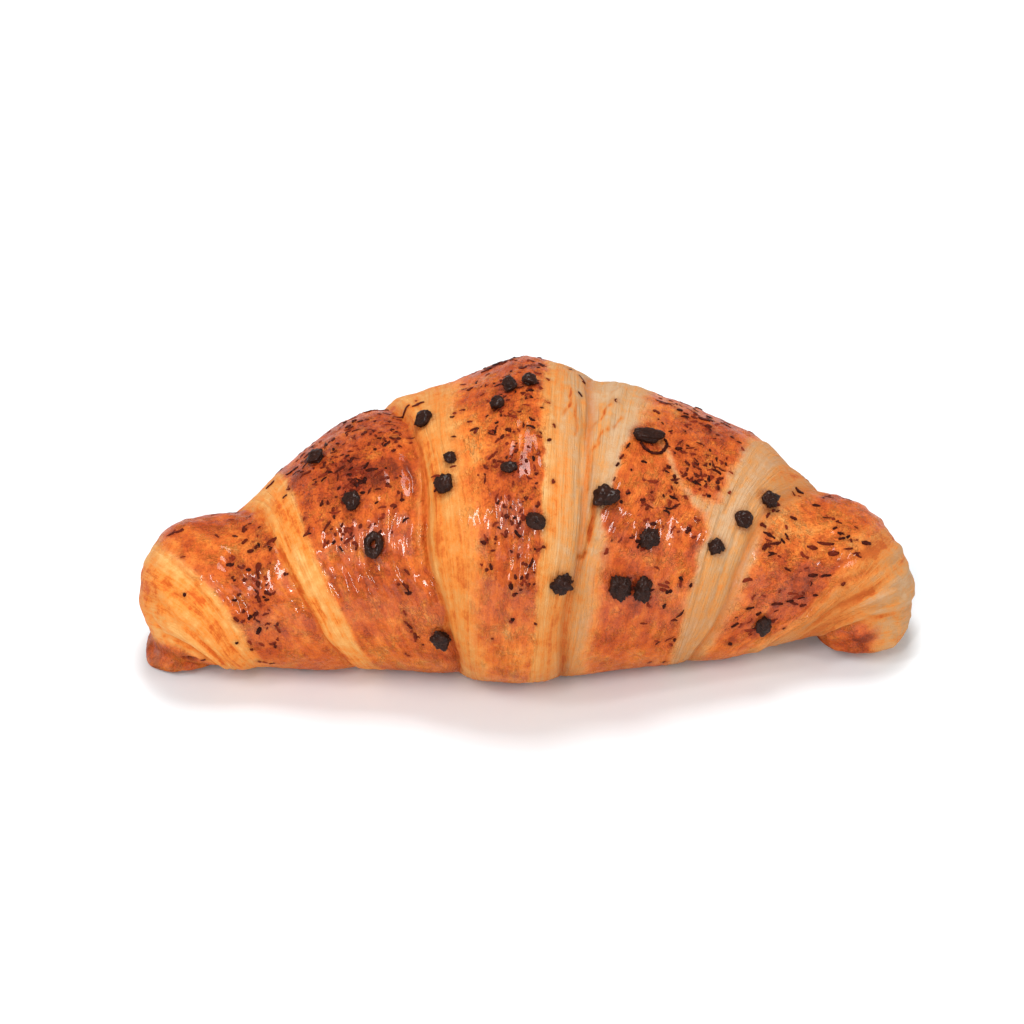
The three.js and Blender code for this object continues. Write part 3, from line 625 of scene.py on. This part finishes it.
class Nodes:
    def __init__(self, name):
        self.m = bpy.data.materials.new(name)
        self.m.use_nodes = True
        self.t = self.m.node_tree
        self.t.nodes.clear()
        self.out = self.t.nodes.new("ShaderNodeOutputMaterial")
        self.b = self.t.nodes.new("ShaderNodeBsdfPrincipled")
        self.t.links.new(self.b.outputs[0], self.out.inputs[0])

    def put(self, socket, v):
        if isinstance(v, bpy.types.NodeSocket):
            self.t.links.new(v, socket)
        else:
            socket.default_value = v

    def math(self, op, a, b=0.0, c=0.0, clamp=False):
        n = self.t.nodes.new("ShaderNodeMath")
        n.operation = op
        n.use_clamp = clamp
        for s, v in zip(n.inputs, (a, b, c)):
            self.put(s, v)
        return n.outputs[0]

    def attribute(self, name, vector=False):
        n = self.t.nodes.new("ShaderNodeAttribute")
        n.attribute_name = name
        return n.outputs["Vector"] if vector else n.outputs["Fac"]

    def mapping(self, v, scale, shift=(0, 0, 0)):
        n = self.t.nodes.new("ShaderNodeMapping")
        self.put(n.inputs["Vector"], v)
        n.inputs["Scale"].default_value = scale
        n.inputs["Location"].default_value = shift
        return n.outputs[0]

    def object_mm(self):
        n = self.t.nodes.new("ShaderNodeTexCoord")
        return self.mapping(n.outputs["Object"], (1000, 1000, 1000))

    def noise(self, v, scale=1.0, detail=3.0, rough=0.55, distortion=0.0):
        n = self.t.nodes.new("ShaderNodeTexNoise")
        self.put(n.inputs["Vector"], v)
        n.inputs["Scale"].default_value = scale
        n.inputs["Detail"].default_value = detail
        n.inputs["Roughness"].default_value = rough
        n.inputs["Distortion"].default_value = distortion
        return n.outputs["Fac"]

    def voronoi(self, v, scale=1.0, feature="F1"):
        n = self.t.nodes.new("ShaderNodeTexVoronoi")
        n.feature = feature
        self.put(n.inputs["Vector"], v)
        n.inputs["Scale"].default_value = scale
        return n.outputs["Distance"]

    def ramp(self, f, stops, mode="LINEAR"):
        n = self.t.nodes.new("ShaderNodeValToRGB")
        r = n.color_ramp
        r.interpolation = mode
        while len(r.elements) > 1:
            r.elements.remove(r.elements[-1])
        r.elements[0].position, r.elements[0].color = stops[0]
        for p, c in stops[1:]:
            e = r.elements.new(p)
            e.color = c
        self.put(n.inputs[0], f)
        return n.outputs[0]

    def step(self, v, lo, hi):
        n = self.t.nodes.new("ShaderNodeMapRange")
        n.interpolation_type = "SMOOTHSTEP"
        self.put(n.inputs[0], v)
        n.inputs[1].default_value, n.inputs[2].default_value = lo, hi
        return n.outputs[0]

    def mix(self, f, a, b, mode="MIX"):
        n = self.t.nodes.new("ShaderNodeMix")
        n.data_type = "RGBA"
        n.blend_type = mode
        self.put(n.inputs[0], f)
        self.put(n.inputs[6], a)
        self.put(n.inputs[7], b)
        return n.outputs[2]

    def bump(self, height, distance, strength=1.0, normal=None):
        n = self.t.nodes.new("ShaderNodeBump")
        n.inputs["Distance"].default_value = distance
        n.inputs["Strength"].default_value = strength
        self.put(n.inputs["Height"], height)
        if normal is not None:
            self.put(n.inputs["Normal"], normal)
        return n.outputs[0]


def crust_material():
    k = Nodes("baked_crust")
    mm = k.object_mm()
    lay = k.attribute("lay", True)
    toast, brown, tint, stain, crease_shade_mask, under, tan, flaky = (k.attribute(a) for a in ("toast", "brown", "tint", "stain", "crease_shade", "under", "tan", "flaky"))
    # fine lines of the layers, and mottling of the glaze
    lines = k.noise(k.mapping(lay, (1.4, 0.06, 0)), 1.0, 3, 0.5, 0.35)
    fine = k.noise(k.mapping(lay, (3.6, 0.16, 0)), 1.0, 3, 0.6, 0.3)
    cloud = k.noise(k.mapping(mm, (1, 1, 1), (5, 9, 1)), 0.5, 5, 0.62)
    mottle = k.noise(mm, 0.42, 4, 0.55)
    grain = k.noise(mm, 2.6, 4, 0.6)
    rag = k.noise(mm, 1.1, 5, 0.65)
    off = lambda f, w: k.math("MULTIPLY", k.math("SUBTRACT", f, 0.5), w)
    soft = k.noise(mm, 0.45, 4, 0.6)
    edge = k.step(k.math("ADD", brown, k.math("ADD", off(rag, 0.32), off(soft, 0.42))), 0.05, 0.92)
    deep = k.math("ADD", k.math("SUBTRACT", toast, k.math("MULTIPLY", k.math("SUBTRACT", 1.0, edge), 0.38)), k.math("ADD", off(mottle, 0.80), off(grain, 0.34)))
    speck = k.step(k.noise(k.mapping(mm, (1, 1, 1), (2, 17, 8)), 1.5, 4, 0.62), 0.53, 0.70)
    deep = k.math("ADD", deep, k.math("MULTIPLY", speck, k.math("ADD", 0.14, k.math("MULTIPLY", flaky, 0.22))))
    web = k.math("SUBTRACT", 1.0, k.math("MULTIPLY", k.math("ABSOLUTE", k.math("SUBTRACT", k.noise(k.mapping(lay, (0.85, 0.62, 0)), 1.0, 2, 0.5, 1.1), 0.5)), 11.0), clamp=True)
    worm = k.math("MULTIPLY", web, k.step(k.noise(mm, 0.30, 2, 0.5), 0.44, 0.60))
    deep = k.math("SUBTRACT", deep, k.math("MULTIPLY", worm, 0.24))
    glaze = k.ramp(deep, [
        (0.00, srgb(238, 160, 84)), (0.25, srgb(232, 130, 52)), (0.50, srgb(214, 102, 36)), (0.75, srgb(186, 76, 28)), (1.00, srgb(126, 50, 24))])
    layers = k.math("ADD", k.math("ADD", tint, off(grain, 0.42)), k.math("ADD", off(cloud, 1.15), k.math("ADD", off(lines, 0.82), off(fine, 0.50))))
    warm = k.ramp(layers, [
        (0.00, srgb(236, 186, 120)), (0.25, srgb(228, 166, 94)), (0.50, srgb(220, 148, 76)), (0.75, srgb(226, 132, 52)), (1.05, srgb(200, 90, 28))])
    # The right half's dough: partly its own beige, partly painted shade for less light on that side.
    beige_and_shade = k.ramp(layers, [
        (0.00, srgb(196, 160, 122)), (0.25, srgb(196, 148, 100)), (0.50, srgb(208, 144, 82)), (0.75, srgb(218, 130, 58)), (1.05, srgb(188, 84, 30))])
    dough = k.mix(k.attribute("right"), warm, beige_and_shade)
    # Mix toward tan: partly the dough's own tone, partly painted shade on the lower right.
    dough = k.mix(k.math("MULTIPLY", tan, 0.55), dough, srgb(184, 104, 46))
    colour = k.mix(edge, dough, glaze)
    blot = k.math("MULTIPLY", k.step(k.noise(k.mapping(mm, (1, 1, 1), (31, 7, 3)), 0.95, 3, 0.6, 0.4), 0.55, 0.66), flaky)
    colour = k.mix(k.math("MULTIPLY", blot, 0.72), colour, srgb(138, 44, 20))
    # Darker stains round the flakes, and a darker ring round each drop.
    dark = k.math("MULTIPLY", stain, k.step(grain, 0.20, 0.62))
    colour = k.mix(k.math("MULTIPLY", dark, 0.85), colour, srgb(118, 36, 18))
    # Painted shade: a darker orange-brown in the creases and deep grooves.
    colour = k.mix(k.math("MULTIPLY", crease_shade_mask, 0.45), colour, srgb(168, 72, 26))
    k.put(k.b.inputs["Base Color"], colour)
    pale = k.math("SUBTRACT", 1.0, edge, clamp=True)
    gloss = k.math("MULTIPLY", edge, k.math("SUBTRACT", 1.0, k.math("MULTIPLY", under, 0.8)))
    patch = k.step(k.noise(mm, 0.35, 4, 0.6), 0.32, 0.6)
    gloss = k.math("MULTIPLY", gloss, k.math("ADD", 0.45, k.math("MULTIPLY", patch, 0.55)))
    k.put(k.b.inputs["Roughness"], k.math("SUBTRACT", 0.62, k.math("MULTIPLY", gloss, 0.24)))
    k.put(k.b.inputs["Coat Weight"], k.math("MULTIPLY", k.math("MULTIPLY", gloss, k.attribute("upward")), 0.62))
    k.b.inputs["Coat Roughness"].default_value = 0.06
    k.b.inputs["Coat IOR"].default_value = 1.45
    k.b.inputs["Specular IOR Level"].default_value = 0.10
    # fine relief
    wrinkle = k.noise(k.mapping(lay, (1.0, 0.40, 0)), 1.0, 5, 0.6, 0.6)
    h = k.math("MULTIPLY", wrinkle, k.math("MULTIPLY", brown, 1.6))
    h = k.math("ADD", h, k.math("MULTIPLY", grain, k.math("MULTIPLY", brown, 0.30)))
    h = k.math("ADD", h, k.math("MULTIPLY", worm, k.math("MULTIPLY", brown, 0.55)))
    h = k.math("ADD", h, k.math("MULTIPLY", k.math("ADD", k.math("ADD", lines, k.math("MULTIPLY", grain, 0.45)), k.math("MULTIPLY", fine, 0.5)), k.math("MULTIPLY", pale, 0.5)))
    k.put(k.b.inputs["Normal"], k.bump(h, 0.0007, 1.0))
    return k.m


def chocolate_material(name, tone, flaky=False, shine=0.5):
    k = Nodes(name)
    mm = k.object_mm()
    a = k.noise(mm, 0.9, 4, 0.6)
    b = k.noise(mm, 5.0, 3, 0.6)
    dark, light = tone
    f = k.math("ADD", k.math("MULTIPLY", a, 0.7), k.math("MULTIPLY", b, 0.3))
    if flaky:
        f = k.math("ADD", k.math("MULTIPLY", f, 0.5), k.math("MULTIPLY", k.attribute("tone"), 0.55))
    k.put(k.b.inputs["Base Color"], k.ramp(f, [(0.28, dark), (0.74, light)]))
    k.put(k.b.inputs["Roughness"], k.math("ADD", 0.30, k.math("MULTIPLY", a, 0.30)))
    k.b.inputs["Coat Weight"].default_value = 0.30 * shine
    k.b.inputs["Coat Roughness"].default_value = 0.10
    k.b.inputs["Specular IOR Level"].default_value = 0.12 * shine
    k.put(k.b.inputs["Normal"], k.bump(k.math("ADD", a, k.math("MULTIPLY", b, 0.5)), 0.0005, 1.0))
    return k.m


# ------------------------------------------------------------------------------------------------ pieces
crust = crust_object()
crust.data.materials.append(crust_material())
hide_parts("croissant_body")
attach(crust, "root")

choc = chocolate_material("dark_chocolate", (srgb(20, 9, 6), srgb(64, 33, 22)), shine=0.6)
flake_choc = chocolate_material("chocolate_flake", (srgb(46, 18, 14), srgb(128, 46, 26)), True, shine=0.15)


def blob(name, u, deg, length, width, height, turn, kind, seed):
    q = q_at(u, deg)
    at, out = sample(P, q, deg), sample(N, q, deg)
    out = out / np.linalg.norm(out)
    du = sample(P, q + 1.2, deg) - sample(P, q - 1.2, deg)
    x = du - out * (du @ out)
    x /= np.linalg.norm(x)
    y = np.cross(out, x)
    bm = bmesh.new()
    r = np.random.RandomState(seed)
    if kind == "ring":
        seg, tube = 56, 22
        vs = []
        for i in range(seg):
            a = 2 * math.pi * i / seg
            for j in range(tube):
                b = 2 * math.pi * j / tube
                vs.append((a, b))
        ab = np.array(vs)
        thick = 0.36 + 0.10 * noise(np.stack([np.cos(ab[:, 0]) * 1.3, np.sin(ab[:, 0]) * 1.3, 0 * ab[:, 0] + seed], -1), 51)
        big = 0.64
        pts = np.stack([(big + thick * np.cos(ab[:, 1])) * np.cos(ab[:, 0]), (big + thick * np.cos(ab[:, 1])) * np.sin(ab[:, 0]), thick * 1.7 * np.sin(ab[:, 1])], -1)
        pts *= (1 + 0.10 * noise(pts * 3.0 + seed, 52) + 0.05 * noise(pts * 7 + seed, 53))[:, None]
        faces = [(i * tube + j, ((i + 1) % seg) * tube + j, ((i + 1) % seg) * tube + (j + 1) % tube, i * tube + (j + 1) % tube) for i in range(seg) for j in range(tube)]
        dirs = pts
    else:
        bmesh.ops.create_icosphere(bm, subdivisions=4, radius=1.0)
        d = np.array([v.co[:] for v in bm.verts])
        faces = [tuple(v.index for v in f.verts) for f in bm.faces]
        n_planes = {"chunk": 11, "smooth": 6, "crumb": 8}[kind]
        radius = np.full(len(d), 1.08)
        for _ in range(n_planes):
            n = r.normal(size=3)
            n /= np.linalg.norm(n)
            c = np.maximum(d @ n, 1e-3)
            limit = r.uniform(0.74, 0.96) / c
            radius = -np.logaddexp(-radius * 14, -limit * 14) / 14
        amp = {"chunk": (0.18, 0.18, 0.12), "smooth": (0.16, 0.11, 0.06), "crumb": (0.30, 0.30, 0.18)}[kind]
        knobs = {"chunk": 9, "smooth": 3, "crumb": 13}[kind]
        lump = np.zeros(len(d))
        for _ in range(knobs):
            n = r.normal(size=3)
            n /= np.linalg.norm(n)
            lump = np.maximum(lump, r.uniform(0.5, 1.0) * np.exp(-(1 - d @ n) / {"chunk": 0.08, "smooth": 0.25, "crumb": 0.13}[kind]))
        radius = radius * (0.86 + {"chunk": 0.26, "smooth": 0.14, "crumb": 0.30}[kind] * lump)
        if kind == "smooth":  # a crease along the top
            n = np.array([r.uniform(-0.5, 0.5), 1.0, 0.1])
            n /= np.linalg.norm(n)
            radius *= 1 - 0.20 * np.exp(-(((d @ n - 0.12 * noise(d * 1.7 + seed, 57)) / 0.10) ** 2)) * ease((d[:, 2] + 0.2) / 0.5)
        radius = radius * (1 + amp[0] * noise(d * 1.5 + seed * 3.1, 54) + amp[1] * noise(d * 3.6 + seed * 1.7, 55) + amp[2] * noise(d * 8 + seed, 56))
        pts = d * radius[:, None]
    bm.free()
    pts = pts * np.array([length / 2 * 1.08, width / 2 * 1.08, height * 0.62])
    c, s = math.cos(math.radians(turn)), math.sin(math.radians(turn))
    pts = np.stack([pts[:, 0] * c - pts[:, 1] * s, pts[:, 0] * s + pts[:, 1] * c, pts[:, 2]], -1)
    base = at + out * height * 0.34
    world = base + pts[:, :1] * x + pts[:, 1:2] * y + pts[:, 2:3] * out
    ob = new_mesh(name, world / 1000, faces)
    bm = bmesh.new()
    bm.from_mesh(ob.data)
    if bm.calc_volume(signed=True) < 0:
        bmesh.ops.reverse_faces(bm, faces=bm.faces)
        bm.to_mesh(ob.data)
        ob.data.update()
    bm.free()
    return ob


for i, spec in enumerate(DROPS):
    ob = blob("drop_%02d" % (i + 1), *spec, seed=i + 3)
    ob.data.materials.append(choc)
    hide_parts("chocolate_drop_%02d" % (i + 1))
    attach(ob, "root")


def slivers():
    verts, faces, tones = [], [], []
    tone_rng = np.random.RandomState(12)
    for q, d, length, half, angle, bend, rise in flakes:
        kq = 1.0
        kd = np.linalg.norm(sample(P, q, d + 1.0) - sample(P, q, d - 1.0)) / 2
        st = np.linspace(-0.5, 0.5, 5) * length
        first = len(verts)
        tones += [float(tone_rng.uniform(0, 1) * (0.55 if rise > 0.17 else 1.0))] * 20
        jag = tone_rng.uniform(0.6, 1.3, 10)
        for n, s in enumerate(st):
            side = bend * (0.25 - (s / length) ** 2) * length
            dq = s * math.cos(angle) - side * math.sin(angle)
            dd = (s * math.sin(angle) + side * math.cos(angle)) / max(kd, 0.15)
            c, nn = sample(P, q + dq, d + dd), sample(N, q + dq, d + dd)
            c2 = sample(P, q + dq + 0.2 * math.cos(angle), d + dd + 0.2 * math.sin(angle) / max(kd, 0.15))
            t = c2 - c
            t = t / (np.linalg.norm(t) + 1e-9)
            w = np.cross(nn, t)
            w /= np.linalg.norm(w) + 1e-9
            taper = (0.56, 0.92, 1.0, 0.90, 0.52)[n] * jag[n]
            for a, b in ((-1, -0.9), (1, -0.9), (0.62, 0.75), (-0.62, 0.75)):
                verts.append((c + w * a * half * taper + nn * rise * (b * (0.6 + 0.4 * taper))) / 1000)
        for n in range(4):
            for j in range(4):
                a, b = first + n * 4 + j, first + n * 4 + (j + 1) % 4
                faces.append((a, b, b + 4, a + 4))
        faces.append(tuple(first + j for j in (3, 2, 1, 0)))
        faces.append(tuple(first + 16 + j for j in (0, 1, 2, 3)))
    # the thread, a thin round strand that follows the crust
    path = np.array(THREAD, float)
    t = np.linspace(0, len(path) - 1, 34)
    us, ds = np.interp(t, np.arange(len(path)), path[:, 0]), np.interp(t, np.arange(len(path)), path[:, 1])
    kernel = np.array([1, 2, 3, 2, 1]) / 9
    us[2:-2], ds[2:-2] = np.convolve(us, kernel, "valid"), np.convolve(ds, kernel, "valid")
    qs = [q_at(u, d) for u, d in zip(us, ds)]
    c = np.array([sample(P, q, d) for q, d in zip(qs, ds)])
    nn = np.array([sample(N, q, d) for q, d in zip(qs, ds)])
    nn /= np.linalg.norm(nn, axis=1, keepdims=True)
    tt = np.gradient(c, axis=0)
    tt /= np.linalg.norm(tt, axis=1, keepdims=True)
    ww = np.cross(nn, tt)
    first = len(verts)
    for n in range(len(c)):
        size = 0.34 * (1 + 0.25 * math.sin(n * 1.9)) * (1 if 0 < n < len(c) - 1 else 0.4)
        for j in range(8):
            a = 2 * math.pi * j / 8
            verts.append((c[n] + nn[n] * (0.12 + size * 0.8 * math.sin(a)) + ww[n] * size * math.cos(a)) / 1000)
            tones.append(0.12)
    for n in range(len(c) - 1):
        for j in range(8):
            a, b = first + n * 8 + j, first + n * 8 + (j + 1) % 8
            faces.append((a, b, b + 8, a + 8))
    faces.append(tuple(first + j for j in reversed(range(8))))
    faces.append(tuple(len(verts) - 8 + j for j in range(8)))
    ob = new_mesh("chocolate_flakes", verts, faces)
    float_attribute(ob.data, "tone", tones)
    bm = bmesh.new()
    bm.from_mesh(ob.data)
    bmesh.ops.recalc_face_normals(bm, faces=bm.faces)
    bm.to_mesh(ob.data)
    bm.free()
    ob.data.update()
    return ob


flake_ob = slivers()
flake_ob.data.materials.append(flake_choc)
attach(flake_ob, "root")

# ------------------------------------------------------------------------------------------------ stage, light, camera
bpy.ops.mesh.primitive_plane_add(size=6, location=(0, 0, -0.0002))
floor = bpy.context.object
floor.name = "floor"
k = Nodes("pale_floor")
k.b.inputs["Base Color"].default_value = (0.84, 0.885, 0.91, 1)
k.b.inputs["Roughness"].default_value = 0.8
floor.data.materials.append(k.m)

world = bpy.data.worlds.new("studio")
scene.world = world
world.use_nodes = True
world.node_tree.nodes["Background"].inputs[0].default_value = (1, 1, 1, 1)
world.node_tree.nodes["Background"].inputs[1].default_value = 0.33


def softbox(name, where, target, size, power, colour=(1, 1, 1)):
    light = bpy.data.lights.new(name, "AREA")
    light.shape = "RECTANGLE"
    light.size, light.size_y = size
    light.energy = power
    light.color = colour
    ob = bpy.data.objects.new(name, light)
    scene.collection.objects.link(ob)
    ob.location = where
    ob.rotation_euler = (Vector(target) - Vector(where)).to_track_quat("-Z", "Y").to_euler()
    return ob


softbox("key", (-0.40, -0.72, 0.88), (0, 0, 0.02), (0.95, 0.75), 3.3)
softbox("fill", (0.85, -0.75, 0.45), (0, 0, 0.02), (0.8, 0.8), 1.2)
softbox("top", (0.0, 0.24, 0.97), (0, 0, 0.02), (0.34, 0.50), 6.9)
softbox("glint_high", (-0.30, -0.80, 0.90), (0, 0, 0.02), (0.07, 0.36), 2.9)
softbox("glint_right", (0.90, -0.52, 0.72), (0, 0, 0.02), (0.09, 0.36), 2.3)
softbox("glint_left", (-0.62, -0.40, 0.82), (0, 0, 0.02), (0.06, 0.30), 1.6)
softbox("glint_low", (-0.10, -1.15, 0.40), (0, 0, 0.02), (0.07, 0.42), 3.2)

tilt = math.radians(35)
cam = bpy.data.cameras.new("camera")
cam_ob = bpy.data.objects.new("camera", cam)
scene.collection.objects.link(cam_ob)
scene.camera = cam_ob
target = (np.array([-2.78, 0.0, 30.1]) - ORIGIN) / 1000
away = np.array([0, math.cos(tilt), -math.sin(tilt)]) * 0.900
cam_ob.location = target - away
cam_ob.rotation_euler = (math.radians(90) - tilt, 0, 0)
cam.sensor_width = 36
cam.lens = 36 * (900 * 772 / 165) / 1024
cam.clip_start, cam.clip_end = 0.05, 50

scene.view_settings.view_transform = "Standard"
scene.view_settings.look = "None"
